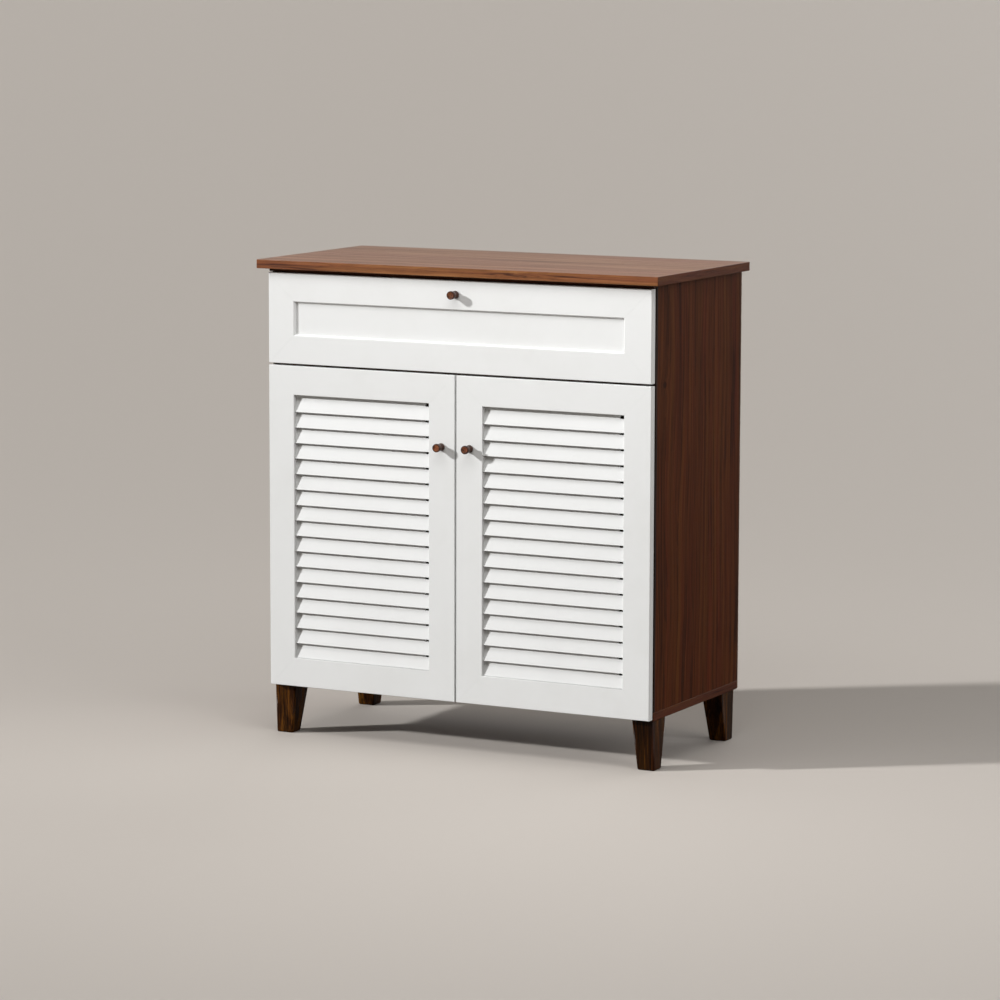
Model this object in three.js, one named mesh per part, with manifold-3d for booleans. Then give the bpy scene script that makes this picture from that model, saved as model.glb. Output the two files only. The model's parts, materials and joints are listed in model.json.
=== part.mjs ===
// Shoe cabinet: a boarded case on four tapered legs, one drawer over a pair of louvred doors.
// Millimetres, +Z up. X runs to the right along the front, Y from the front to the back.
// The origin is on the floor, at the middle of the overall width and depth.

import * as THREE from 'three';
import { mergeVertices } from 'three/addons/utils/BufferGeometryUtils.js';
import Module from 'manifold-3d';

const wasm = await Module();
wasm.setup();

// Overall sizes
const WIDTH = 800;
const DEPTH = 397;
const HEIGHT = 870;

// Boards and clearances
const BOARD = 15;
const TOP_BOARD = 16;
const BACK_BOARD = 5;
const FIT = 0.3;

// Case
const SIDE_OVERHANG = 16.5;
const FRONT_OVERHANG = 13;
const LEG_HEIGHT = 90;
const BACK_BOARD_SHORT = 1;
const RAIL_DEPTH = 60;
const SHELF_SETBACK = 10;
const SHELF_SIDE_GAP = 1;
const TOP_STRIP_SETBACK = 4.5;
const TOP_STRIP_CLEARANCE = 1.5;

// Fronts
const FRONT = 15;
const FRONT_GAP = 2;
const FRONT_REVEAL = 1;
const TOP_REVEAL = 7;
const BOTTOM_REVEAL = 2.5;
const DRAWER_DOOR_GAP = 4;
const DOOR_GAP = 4;
const DRAWER_FRONT_HEIGHT = 164;

// Mitred drawer front, with a sunk panel
const DRAWER_STILE = 52;
const DRAWER_RAIL = 51;
const PANEL_SINK = 5.5;
const PANEL_BEVEL = 3;
const PANEL = 6;
const PANEL_GROOVE = 8;

// Mitred door frames, with a louvred insert in a rebate
const DOOR_RAIL = 52.5;
const DOOR_LIP = 4;
const DOOR_REBATE = 6;
const INSERT_SHOW = 1;
const SLAT_COUNT = 17;
const SLAT = 3.6;
const SLAT_SETBACK = 2.5;
const SLAT_BACK_SPACE = 0.2;
const SLAT_LAP = 3;
const SLAT_TOP_SPACE = 3;
const SLAT_SUNK = 1.2;
const NOTCH_WIDTH = 12;
const NOTCH_HEIGHT = 7.5;

// Knobs and their screws
const KNOB_LENGTH = 20;
const KNOB_RADIUS = 7.5;
const KNOB_BASE_RADIUS = 7.1;
const KNOB_WAIST_RADIUS = 6.2;
const KNOB_WAIST_REACH = 8;
const KNOB_HEAD_REACH = 16;
const KNOB_EDGE = 1;
const DOOR_KNOB_INSET = 26.5;
const DOOR_KNOB_DROP = 129;
const DRAWER_KNOB_DROP = 25;
const SCREW_RADIUS = 2;
const SCREW_BITE = 12;
const SCREW_HEAD_RADIUS = 4;
const SCREW_CROWN_RADIUS = 3.2;
const SCREW_HEAD = 2.4;

// Legs
const LEG_TOP_X = 42;
const LEG_TOP_Y = 52;
const LEG_FOOT_X = 33;
const LEG_FOOT_Y = 30;
const LEG_END_TAPER = 5;
const LEG_ROUND = 2.5;
const LEG_SIDE_INSET = 0.5;
const LEG_BACK_INSET = 17;

// Drawer box and its slides
const DRAWER_SIDE = 12;
const DRAWER_BOX_HEIGHT = 110;
const DRAWER_BOX_LIFT = 12;
const DRAWER_BACK_SPACE = 53;
const DRAWER_BOTTOM = 3;
const DRAWER_BOTTOM_LIFT = 8;
const DRAWER_GROOVE = 5;
const SLIDE_SPACE = 12.5;
const SLIDE_STEEL = 1.2;
const SLIDE_REACH = 10;
const SLIDE_HALF = 9.9;
const SLIDE_PLAY = 0.8;
const SLIDE_LIFT = 30;
const SLIDE_SETBACK = 2;
const SLIDE_SHORT = 12;

// Cup hinges
const CUP_RADIUS = 17.5;
const CUP_DEPTH = 11.5;
const CUP_WALL = 1;
const CUP_RIM = 19;
const CUP_RIM_THICK = 0.8;
const CUP_EDGE = 5;
const CUP_WEB = 5.5;
const HINGE_END_DISTANCE = 80;
const HINGE_PLATE_LENGTH = 48;
const HINGE_PLATE_HEIGHT = 34;
const HINGE_PLATE = 2;
const HINGE_PLATE_SETBACK = 8;
const HINGE_ARM_HEIGHT = 12;
const HINGE_ARM_RISE = 14;
const HINGE_ARM_SHORT = 6;
const HINGE_NOSE_LENGTH = 7;
const HINGE_NOSE = 8;
const HINGE_NOSE_SHOULDER = 1;

// Shelves and their pins
const SHELF_COUNT = 2;
const PIN_RADIUS = 2.5;
const PIN_SUNK = 8;
const PIN_OUT = 9;
const PIN_INSET = 50;
const PIN_HOLE_STEP = 32;

// Facets of round pieces, the distance that merges corners, and how far a cutting tool runs past a face
const ROUND_SIDES = 32;
const THIN_SIDES = 16;
const LEG_ROUND_STEPS = 4;
const MERGE_DISTANCE = 1e-4;
const OVERCUT = 1;

// Places that follow from the sizes
const BACK_Y = DEPTH / 2;
const FACE_Y = KNOB_LENGTH - DEPTH / 2;
const FRONT_BACK_Y = FACE_Y + FRONT;
const CASE_FRONT_Y = FRONT_BACK_Y + FRONT_GAP;
const CASE_BACK_Y = BACK_Y - BACK_BOARD - FIT;
const CASE_HALF = WIDTH / 2 - SIDE_OVERHANG;
const INSIDE_HALF = CASE_HALF - BOARD;
const FLOOR_TOP_Z = LEG_HEIGHT + BOARD;
const TOP_UNDER_Z = HEIGHT - TOP_BOARD;
const DRAWER_TOP_Z = TOP_UNDER_Z - TOP_REVEAL;
const DRAWER_LOW_Z = DRAWER_TOP_Z - DRAWER_FRONT_HEIGHT;
const DOOR_TOP_Z = DRAWER_LOW_Z - DRAWER_DOOR_GAP;
const DOOR_LOW_Z = LEG_HEIGHT + BOTTOM_REVEAL;
const DOOR_HEIGHT = DOOR_TOP_Z - DOOR_LOW_Z;
const FRONT_HALF = CASE_HALF - FRONT_REVEAL;
const DOOR_WIDTH = FRONT_HALF - DOOR_GAP / 2;
const CUP_INSET = CUP_EDGE + CUP_RADIUS;
const DOOR_STILE = CUP_INSET + CUP_RADIUS + CUP_WEB + DOOR_REBATE;
const DIVIDER_LOW_Z = DRAWER_LOW_Z - DRAWER_DOOR_GAP / 2 - BOARD / 2;
const DIVIDER_TOP_Z = DIVIDER_LOW_Z + BOARD;
const SCREW_HOLE_RADIUS = SCREW_RADIUS + FIT;

// Finishes
const walnut = new THREE.MeshStandardMaterial({ color: 0x4a2a1a, roughness: 0.5, metalness: 0 });
const walnutTop = new THREE.MeshStandardMaterial({ color: 0x7a4a2c, roughness: 0.4, metalness: 0 });
const white = new THREE.MeshStandardMaterial({ color: 0xeeede9, roughness: 0.45, metalness: 0 });
const legWood = new THREE.MeshStandardMaterial({ color: 0x3f2412, roughness: 0.45, metalness: 0 });
const knobWood = new THREE.MeshStandardMaterial({ color: 0x6b3a22, roughness: 0.4, metalness: 0 });
const hardboard = new THREE.MeshStandardMaterial({ color: 0x6a4630, roughness: 0.8, metalness: 0 });
const steel = new THREE.MeshStandardMaterial({ color: 0xb4b4b6, roughness: 0.35, metalness: 1 });

// Turns a closed geometry into a solid, with its shared corners merged.
function solidOf(geometry) {
  const bare = geometry.clone();
  bare.deleteAttribute('normal');
  bare.deleteAttribute('uv');
  const merged = mergeVertices(bare, MERGE_DISTANCE);
  const mesh = new wasm.Mesh({
    numProp: 3,
    vertProperties: merged.attributes.position.array,
    triVerts: Uint32Array.from(merged.index.array)
  });
  return new wasm.Manifold(mesh);
}

function geometryOf(solid) {
  const mesh = solid.getMesh();
  const geometry = new THREE.BufferGeometry();
  geometry.setAttribute('position', new THREE.BufferAttribute(mesh.vertProperties, 3));
  geometry.setIndex(new THREE.BufferAttribute(mesh.triVerts, 1));
  geometry.computeVertexNormals();
  return geometry;
}

function joined(geometries) {
  return geometryOf(geometries.map(solidOf).reduce((whole, part) => whole.add(part)));
}

// Box geometry between two opposite corners.
function block(low, high) {
  const size = high.map((value, axis) => value - low[axis]);
  const geometry = new THREE.BoxGeometry(...size);
  geometry.translate(...low.map((value, axis) => value + size[axis] / 2));
  return geometry;
}

// Cylinder geometry along X or Y, starting at a point.
function rod(axis, start, length, radius, sides) {
  const geometry = new THREE.CylinderGeometry(radius, radius, Math.abs(length), sides);
  if (axis === 'x') {
    geometry.rotateZ(Math.PI / 2);
    geometry.translate(length / 2, 0, 0);
  } else {
    geometry.translate(0, length / 2, 0);
  }
  geometry.translate(...start);
  return geometry;
}

function piece(parent, name, finish, geometry) {
  const mesh = new THREE.Mesh(geometry, finish);
  mesh.name = name;
  parent.add(mesh);
  return mesh;
}

// Plain board between two opposite corners of its parent's frame.
function board(parent, name, finish, low, high) {
  const size = high.map((value, axis) => value - low[axis]);
  const mesh = piece(parent, name, finish, new THREE.BoxGeometry(...size));
  mesh.position.set(...low.map((value, axis) => value + size[axis] / 2));
  return mesh;
}

// Cuts a piece with tools that are placed in its parent's frame.
function cut(mesh, tools) {
  mesh.updateMatrix();
  const toPiece = mesh.matrix.clone().invert();
  const placed = tools.map((tool) => solidOf(tool.clone().applyMatrix4(toPiece)));
  mesh.geometry = geometryOf(placed.reduce((rest, tool) => rest.subtract(tool), solidOf(mesh.geometry)));
}

// Bar of a mitred frame along X, with its outer edge up at z = 0 and its face at y = 0.
// A section point is [distance in from the outer edge, depth behind the face].
function mitredBar(section, length, slope) {
  const outline = new THREE.Shape(section.map(([inward, depth]) => new THREE.Vector2(depth, -inward)));
  const geometry = new THREE.ExtrudeGeometry(outline, { depth: 1, bevelEnabled: false });
  const position = geometry.attributes.position;
  for (let i = 0; i < position.count; i += 1) {
    const depth = position.getX(i);
    const height = position.getY(i);
    const side = position.getZ(i) < 0.5 ? -1 : 1;
    position.setXYZ(i, side * (length / 2 + height * slope - FIT / 2), depth, height);
  }
  return geometry;
}

// Four mitred bars around a rectangle: low corner x, low corner z, width and height.
function mitredFrame(parent, prefix, finish, place, stile, rail, sectionOf) {
  const [x, y, z, width, height] = place;
  const bars = [
    ['top_rail', rail, width, stile / rail, 0, x + width / 2, z + height],
    ['right_stile', stile, height, rail / stile, Math.PI / 2, x + width, z + height / 2],
    ['bottom_rail', rail, width, stile / rail, Math.PI, x + width / 2, z],
    ['left_stile', stile, height, rail / stile, -Math.PI / 2, x, z + height / 2]
  ];
  const frame = {};
  for (const [name, bar, length, slope, turn, barX, barZ] of bars) {
    const mesh = piece(parent, `${prefix}_${name}`, finish, mitredBar(sectionOf(bar), length, slope));
    mesh.rotation.y = turn;
    mesh.position.set(barX, y, barZ);
    frame[name] = mesh;
  }
  return frame;
}

function doorSection(width) {
  return [
    [0, 0], [0, FRONT], [width - DOOR_REBATE, FRONT],
    [width - DOOR_REBATE, DOOR_LIP], [width, DOOR_LIP], [width, 0]
  ];
}

function drawerSection(width) {
  const inner = width + PANEL_BEVEL;
  const grooveFront = PANEL_SINK - FIT;
  const grooveBack = PANEL_SINK + PANEL + FIT;
  return [
    [0, 0], [0, FRONT], [inner, FRONT], [inner, grooveBack], [inner - PANEL_GROOVE, grooveBack],
    [inner - PANEL_GROOVE, grooveFront], [inner, grooveFront], [width, 0]
  ];
}

// Louvred insert: a thin frame for the rebate and slats that lean back and lap each other.
// Its opening starts at x = 0 and z = 0, and the door's face is y = 0.
function louvredInsert(width, height) {
  const out = DOOR_REBATE - FIT;
  const front = DOOR_LIP + FIT;
  const frame = [
    block([-out, front, -out], [INSERT_SHOW, FRONT, height + out]),
    block([width - INSERT_SHOW, front, -out], [width + out, FRONT, height + out]),
    block([-out, front, -out], [width + out, FRONT, INSERT_SHOW]),
    block([-out, front, height - INSERT_SHOW], [width + out, FRONT, height + out])
  ];
  const pitch = (height + SLAT_SUNK - SLAT_TOP_SPACE) / SLAT_COUNT;
  const rise = pitch + SLAT_LAP;
  const lean = FRONT - SLAT_SETBACK - SLAT - SLAT_BACK_SPACE;
  const side = new THREE.Shape([
    new THREE.Vector2(SLAT_SETBACK, 0),
    new THREE.Vector2(SLAT_SETBACK + SLAT, 0),
    new THREE.Vector2(SLAT_SETBACK + SLAT + lean, rise),
    new THREE.Vector2(SLAT_SETBACK + lean, rise)
  ]);
  const slatLength = width - 2 * FIT;
  const slat = new THREE.ExtrudeGeometry(side, { depth: slatLength, bevelEnabled: false });
  slat.rotateY(Math.PI / 2).rotateX(Math.PI / 2);
  slat.translate(FIT, 0, 0);
  const notch = block(
    [width - FIT - NOTCH_WIDTH, 0, rise - NOTCH_HEIGHT],
    [width - INSERT_SHOW, FRONT, rise + FIT]
  );
  const notched = geometryOf(solidOf(slat).subtract(solidOf(notch)));
  const slats = [];
  for (let i = 0; i < SLAT_COUNT; i += 1) {
    slats.push(notched.clone().translate(0, 0, i * pitch - SLAT_SUNK));
  }
  const whole = solidOf(joined([...frame, ...slats]));
  const sill = block([0, 0, -SLAT_SUNK - FIT], [width, front, FIT]);
  const lintel = block([0, 0, height - FIT], [width, front, height + rise]);
  return geometryOf(whole.subtract(solidOf(sill)).subtract(solidOf(lintel)));
}

// Turned knob with a blind screw hole, pointing to the front.
function knobGeometry() {
  const bite = SCREW_BITE + FIT;
  const outline = [
    [0, bite], [SCREW_HOLE_RADIUS, bite], [SCREW_HOLE_RADIUS, 0], [KNOB_BASE_RADIUS, 0],
    [KNOB_WAIST_RADIUS, KNOB_WAIST_REACH], [KNOB_RADIUS, KNOB_HEAD_REACH],
    [KNOB_RADIUS, KNOB_LENGTH - KNOB_EDGE], [KNOB_RADIUS - KNOB_EDGE, KNOB_LENGTH], [0, KNOB_LENGTH]
  ];
  return new THREE.LatheGeometry(outline.map(([r, y]) => new THREE.Vector2(r, y)), ROUND_SIDES);
}

// Pan-head screw through a front, with its head behind it, at y = 0 on the front's back.
function screwGeometry() {
  const shank = FRONT + SCREW_BITE;
  const outline = [
    [0, shank], [SCREW_RADIUS, shank], [SCREW_RADIUS, -FIT], [SCREW_HEAD_RADIUS, -FIT],
    [SCREW_CROWN_RADIUS, -FIT - SCREW_HEAD], [0, -FIT - SCREW_HEAD]
  ];
  return new THREE.LatheGeometry(outline.reverse().map(([r, y]) => new THREE.Vector2(r, y)), THIN_SIDES);
}

// Knob, screw and screw hole at a point of a front, in the front's parent frame.
function addKnob(parent, prefix, bar, x, faceY, z) {
  const knob = piece(parent, `${prefix}_knob`, knobWood, knobGeometry());
  knob.rotation.x = Math.PI;
  knob.position.set(x, faceY, z);
  const screw = piece(parent, `${prefix}_knob_screw`, steel, screwGeometry());
  screw.rotation.x = Math.PI;
  screw.position.set(x, faceY + FRONT, z);
  cut(bar, [rod('y', [x, faceY - OVERCUT, z], FRONT + 2 * OVERCUT, SCREW_HOLE_RADIUS, THIN_SIDES)]);
}

const cabinet = new THREE.Group();

// Case boards
board(cabinet, 'tabletop', walnutTop,
  [-WIDTH / 2, FACE_Y - FRONT_OVERHANG, TOP_UNDER_Z], [WIDTH / 2, CASE_BACK_Y, HEIGHT]);
board(cabinet, 'top_strip', walnut,
  [-CASE_HALF, FACE_Y + TOP_STRIP_SETBACK, DRAWER_TOP_Z + TOP_STRIP_CLEARANCE],
  [CASE_HALF, CASE_FRONT_Y - FIT, TOP_UNDER_Z - FIT]);
board(cabinet, 'bottom_panel', walnut,
  [-CASE_HALF, CASE_FRONT_Y, LEG_HEIGHT], [CASE_HALF, CASE_BACK_Y, FLOOR_TOP_Z]);
board(cabinet, 'back_panel', hardboard,
  [-CASE_HALF + BACK_BOARD_SHORT, BACK_Y - BACK_BOARD, LEG_HEIGHT + BACK_BOARD_SHORT],
  [CASE_HALF - BACK_BOARD_SHORT, BACK_Y, TOP_UNDER_Z - FIT]);
board(cabinet, 'divider_panel', walnut,
  [-INSIDE_HALF + FIT, CASE_FRONT_Y, DIVIDER_LOW_Z], [INSIDE_HALF - FIT, CASE_BACK_Y, DIVIDER_TOP_Z]);
board(cabinet, 'front_rail', walnut,
  [-INSIDE_HALF + FIT, CASE_FRONT_Y, TOP_UNDER_Z - FIT - BOARD],
  [INSIDE_HALF - FIT, CASE_FRONT_Y + RAIL_DEPTH, TOP_UNDER_Z - FIT]);
board(cabinet, 'back_rail', walnut,
  [-INSIDE_HALF + FIT, CASE_BACK_Y - RAIL_DEPTH, TOP_UNDER_Z - FIT - BOARD],
  [INSIDE_HALF - FIT, CASE_BACK_Y, TOP_UNDER_Z - FIT]);

const sides = [['left', -1], ['right', 1]];
const sidePanels = {};
for (const [name, side] of sides) {
  sidePanels[name] = board(cabinet, `side_panel_${name}`, walnut,
    [Math.min(side * INSIDE_HALF, side * CASE_HALF), CASE_FRONT_Y, FLOOR_TOP_Z + FIT],
    [Math.max(side * INSIDE_HALF, side * CASE_HALF), CASE_BACK_Y, TOP_UNDER_Z - FIT]);
}

// Leg with rounded edges. Its outer side stands upright, its front or back leans in a little and
// its two inner sides taper: sideX and sideY say on which side of the leg each outer face lies.
function legGeometry(sideX, sideY) {
  const outline = new THREE.Shape();
  const farX = LEG_TOP_X / 2 - LEG_ROUND;
  const farY = LEG_TOP_Y / 2 - LEG_ROUND;
  outline.absarc(-farX, -farY, LEG_ROUND, Math.PI, Math.PI * 1.5);
  outline.absarc(farX, -farY, LEG_ROUND, -Math.PI / 2, 0);
  outline.absarc(farX, farY, LEG_ROUND, 0, Math.PI / 2);
  outline.absarc(-farX, farY, LEG_ROUND, Math.PI / 2, Math.PI);
  const height = LEG_HEIGHT - FIT;
  const geometry = new THREE.ExtrudeGeometry(outline,
    { depth: height, bevelEnabled: false, curveSegments: LEG_ROUND_STEPS });
  const position = geometry.attributes.position;
  const shiftX = sideX * (LEG_TOP_X - LEG_FOOT_X) / 2;
  const shiftY = sideY * ((LEG_TOP_Y - LEG_FOOT_Y) / 2 - LEG_END_TAPER);
  for (let i = 0; i < position.count; i += 1) {
    if (position.getZ(i) < height / 2) {
      position.setX(i, position.getX(i) * LEG_FOOT_X / LEG_TOP_X + shiftX);
      position.setY(i, position.getY(i) * LEG_FOOT_Y / LEG_TOP_Y + shiftY);
    }
  }
  return geometry;
}

const legX = CASE_HALF - LEG_SIDE_INSET - LEG_TOP_X / 2;
const legRows = [
  ['front', -1, CASE_FRONT_Y + LEG_TOP_Y / 2],
  ['back', 1, BACK_Y - LEG_BACK_INSET - LEG_TOP_Y / 2]
];
for (const [row, sideY, y] of legRows) {
  for (const [name, sideX] of sides) {
    const leg = piece(cabinet, `${row}_${name}_leg`, legWood, legGeometry(sideX, sideY));
    leg.position.set(sideX * legX, y, 0);
  }
}

// Adjustable shelves on pins
const shelfSpace = (DIVIDER_LOW_Z - FLOOR_TOP_Z - SHELF_COUNT * BOARD) / (SHELF_COUNT + 1);
const shelfNames = ['lower', 'upper'];
const pinYs = [['front', CASE_FRONT_Y + PIN_INSET], ['back', CASE_BACK_Y - PIN_INSET]];
const pinHoles = { left: [], right: [] };
for (let i = 0; i < SHELF_COUNT; i += 1) {
  const low = FLOOR_TOP_Z + shelfSpace + i * (shelfSpace + BOARD);
  board(cabinet, `${shelfNames[i]}_shelf`, walnut,
    [-INSIDE_HALF + SHELF_SIDE_GAP, CASE_FRONT_Y + SHELF_SETBACK, low],
    [INSIDE_HALF - SHELF_SIDE_GAP, CASE_BACK_Y - SHELF_SIDE_GAP, low + BOARD]);
  const pinZ = low - FIT - PIN_RADIUS;
  for (const [name, side] of sides) {
    for (const [place, y] of pinYs) {
      piece(cabinet, `${shelfNames[i]}_shelf_pin_${name}_${place}`, steel,
        rod('x', [side * (INSIDE_HALF - PIN_OUT), y, pinZ], side * (PIN_OUT + PIN_SUNK),
          PIN_RADIUS, THIN_SIDES));
      for (const step of [-1, 0, 1]) {
        pinHoles[name].push(rod('x', [side * (INSIDE_HALF - OVERCUT), y, pinZ + step * PIN_HOLE_STEP],
          side * (PIN_SUNK + OVERCUT + FIT), PIN_RADIUS + FIT, THIN_SIDES));
      }
    }
  }
}
for (const [name] of sides) {
  cut(sidePanels[name], pinHoles[name]);
}

// Drawer: mitred front with a sunk panel, box and runners
const drawer = new THREE.Group();
drawer.position.set(0, FACE_Y, DRAWER_LOW_Z);
cabinet.add(drawer);

const drawerFrame = mitredFrame(drawer, 'drawer_front', white,
  [-FRONT_HALF, 0, 0, 2 * FRONT_HALF, DRAWER_FRONT_HEIGHT], DRAWER_STILE, DRAWER_RAIL, drawerSection);
const panelX = FRONT_HALF - DRAWER_STILE - PANEL_BEVEL + PANEL_GROOVE - FIT;
const panelZ = DRAWER_RAIL + PANEL_BEVEL - PANEL_GROOVE + FIT;
board(drawer, 'drawer_front_panel', white,
  [-panelX, PANEL_SINK, panelZ], [panelX, PANEL_SINK + PANEL, DRAWER_FRONT_HEIGHT - panelZ]);
addKnob(drawer, 'drawer', drawerFrame.top_rail, 0, 0, DRAWER_FRONT_HEIGHT - DRAWER_KNOB_DROP);

const boxHalf = INSIDE_HALF - SLIDE_SPACE;
const boxFront = FRONT + FIT;
const boxBack = CASE_BACK_Y - DRAWER_BACK_SPACE - FACE_Y;
const boxLow = DIVIDER_TOP_Z + DRAWER_BOX_LIFT - DRAWER_LOW_Z;
const boxHigh = boxLow + DRAWER_BOX_HEIGHT;
const bottomLow = boxLow + DRAWER_BOTTOM_LIFT;
const bottomHigh = bottomLow + DRAWER_BOTTOM;
const bottomHalf = boxHalf - DRAWER_SIDE + DRAWER_GROOVE - FIT;
board(drawer, 'drawer_back', walnut,
  [-boxHalf + DRAWER_SIDE + FIT, boxBack - DRAWER_SIDE, bottomHigh + FIT],
  [boxHalf - DRAWER_SIDE - FIT, boxBack, boxHigh]);
board(drawer, 'drawer_bottom', hardboard,
  [-bottomHalf, boxFront, bottomLow], [bottomHalf, boxBack, bottomHigh]);
const groove = block(
  [-bottomHalf - FIT, boxFront - OVERCUT, bottomLow - FIT],
  [bottomHalf + FIT, boxBack + OVERCUT, bottomHigh + FIT]);
for (const [name, side] of sides) {
  const panel = board(drawer, `drawer_side_${name}`, walnut,
    [Math.min(side * boxHalf, side * (boxHalf - DRAWER_SIDE)), boxFront, boxLow],
    [Math.max(side * boxHalf, side * (boxHalf - DRAWER_SIDE)), boxBack, boxHigh]);
  cut(panel, [groove]);
}

// Slide section across a channel: web on the fixed side, two flanges towards the middle.
function channel(reach, half, length) {
  const outline = new THREE.Shape([
    new THREE.Vector2(0, -half), new THREE.Vector2(reach, -half),
    new THREE.Vector2(reach, -half + SLIDE_STEEL), new THREE.Vector2(SLIDE_STEEL, -half + SLIDE_STEEL),
    new THREE.Vector2(SLIDE_STEEL, half - SLIDE_STEEL), new THREE.Vector2(reach, half - SLIDE_STEEL),
    new THREE.Vector2(reach, half), new THREE.Vector2(0, half)
  ]);
  const geometry = new THREE.ExtrudeGeometry(outline, { depth: length, bevelEnabled: false });
  return geometry.translate(0, 0, -length / 2);
}

const slideZ = boxLow + SLIDE_LIFT;
const slideLength = boxBack - boxFront - SLIDE_SHORT;
const runnerHalf = SLIDE_HALF - SLIDE_STEEL - SLIDE_PLAY;
const slideY = CASE_FRONT_Y + SLIDE_SETBACK + slideLength / 2;
const runnerReach = SLIDE_REACH - SLIDE_STEEL;
for (const [name, side] of sides) {
  const rail = piece(cabinet, `slide_rail_${name}`, steel, channel(SLIDE_REACH, SLIDE_HALF, slideLength));
  rail.rotation.set(Math.PI / 2, 0, side > 0 ? Math.PI : 0);
  rail.position.set(side * (INSIDE_HALF - FIT), slideY, DRAWER_LOW_Z + slideZ);
  const runner = piece(drawer, `drawer_runner_${name}`, steel,
    channel(runnerReach, runnerHalf, slideLength));
  runner.rotation.set(Math.PI / 2, 0, side > 0 ? 0 : Math.PI);
  runner.position.set(side * (boxHalf + FIT), boxFront + slideLength / 2 + SLIDE_SETBACK, slideZ);
}

// Hinge cup with a thin rim, opening to the back, with its rim's seat at y = 0.
function cupGeometry() {
  const inner = CUP_RADIUS - CUP_WALL;
  const outline = [
    [0, -CUP_DEPTH], [CUP_RADIUS, -CUP_DEPTH], [CUP_RADIUS, FIT], [CUP_RIM, FIT],
    [CUP_RIM, FIT + CUP_RIM_THICK], [inner, FIT + CUP_RIM_THICK], [inner, CUP_WALL - CUP_DEPTH],
    [0, CUP_WALL - CUP_DEPTH]
  ];
  return new THREE.LatheGeometry(outline.map(([r, y]) => new THREE.Vector2(r, y)), ROUND_SIDES);
}

// Hinge arm on a case side: plate at x = 0, arm standing off it, nose that reaches into the cup.
// Y = 0 is the back of the door.
function armGeometry() {
  const half = HINGE_ARM_HEIGHT / 2;
  const start = FRONT_GAP + CUP_RIM_THICK;
  const plateStart = start + HINGE_PLATE_SETBACK;
  const plateEnd = plateStart + HINGE_PLATE_LENGTH;
  return joined([
    block([-HINGE_PLATE, plateStart, -HINGE_PLATE_HEIGHT / 2], [0, plateEnd, HINGE_PLATE_HEIGHT / 2]),
    block([-HINGE_ARM_RISE, start, -half], [-HINGE_PLATE / 2, plateEnd - HINGE_ARM_SHORT, half]),
    block([-HINGE_ARM_RISE, -HINGE_NOSE_LENGTH, HINGE_NOSE_SHOULDER - half],
      [HINGE_NOSE - HINGE_ARM_RISE, start + OVERCUT, half - HINGE_NOSE_SHOULDER])
  ]);
}

// Doors: each group's origin is on its hinge axis, at the outer back corner of the door.
for (const [name, side] of sides) {
  const door = new THREE.Group();
  door.position.set(side * FRONT_HALF, FRONT_BACK_Y, DOOR_LOW_Z);
  cabinet.add(door);
  const prefix = `${name}_door`;
  const lowX = side > 0 ? -DOOR_WIDTH : 0;
  const frame = mitredFrame(door, prefix, white,
    [lowX, -FRONT, 0, DOOR_WIDTH, DOOR_HEIGHT], DOOR_STILE, DOOR_RAIL, doorSection);
  const insert = piece(door, `${prefix}_louvres`, white,
    louvredInsert(DOOR_WIDTH - 2 * DOOR_STILE, DOOR_HEIGHT - 2 * DOOR_RAIL));
  insert.position.set(lowX + DOOR_STILE, -FRONT, DOOR_RAIL);
  const innerStile = side > 0 ? frame.left_stile : frame.right_stile;
  const outerStile = side > 0 ? frame.right_stile : frame.left_stile;
  addKnob(door, prefix, innerStile, side * (DOOR_KNOB_INSET - DOOR_WIDTH), -FRONT,
    DOOR_HEIGHT - DOOR_KNOB_DROP);
  const pockets = [];
  for (const [place, z] of [['lower', HINGE_END_DISTANCE], ['upper', DOOR_HEIGHT - HINGE_END_DISTANCE]]) {
    const cup = piece(door, `${prefix}_${place}_hinge_cup`, steel, cupGeometry());
    cup.position.set(-side * CUP_INSET, 0, z);
    pockets.push(rod('y', [-side * CUP_INSET, OVERCUT, z], -CUP_DEPTH - FIT - OVERCUT,
      CUP_RADIUS + FIT, ROUND_SIDES));
    const arm = piece(cabinet, `${prefix}_${place}_hinge_arm`, steel, armGeometry());
    arm.rotation.y = side > 0 ? 0 : Math.PI;
    arm.position.set(side * (INSIDE_HALF - FIT), FRONT_BACK_Y, DOOR_LOW_Z + z);
  }
  cut(outerStile, pockets);
}

export default cabinet;
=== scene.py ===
import json
from math import cos, pi, radians, sin

import bmesh
import bpy
from mathutils import Matrix, Vector

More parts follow.
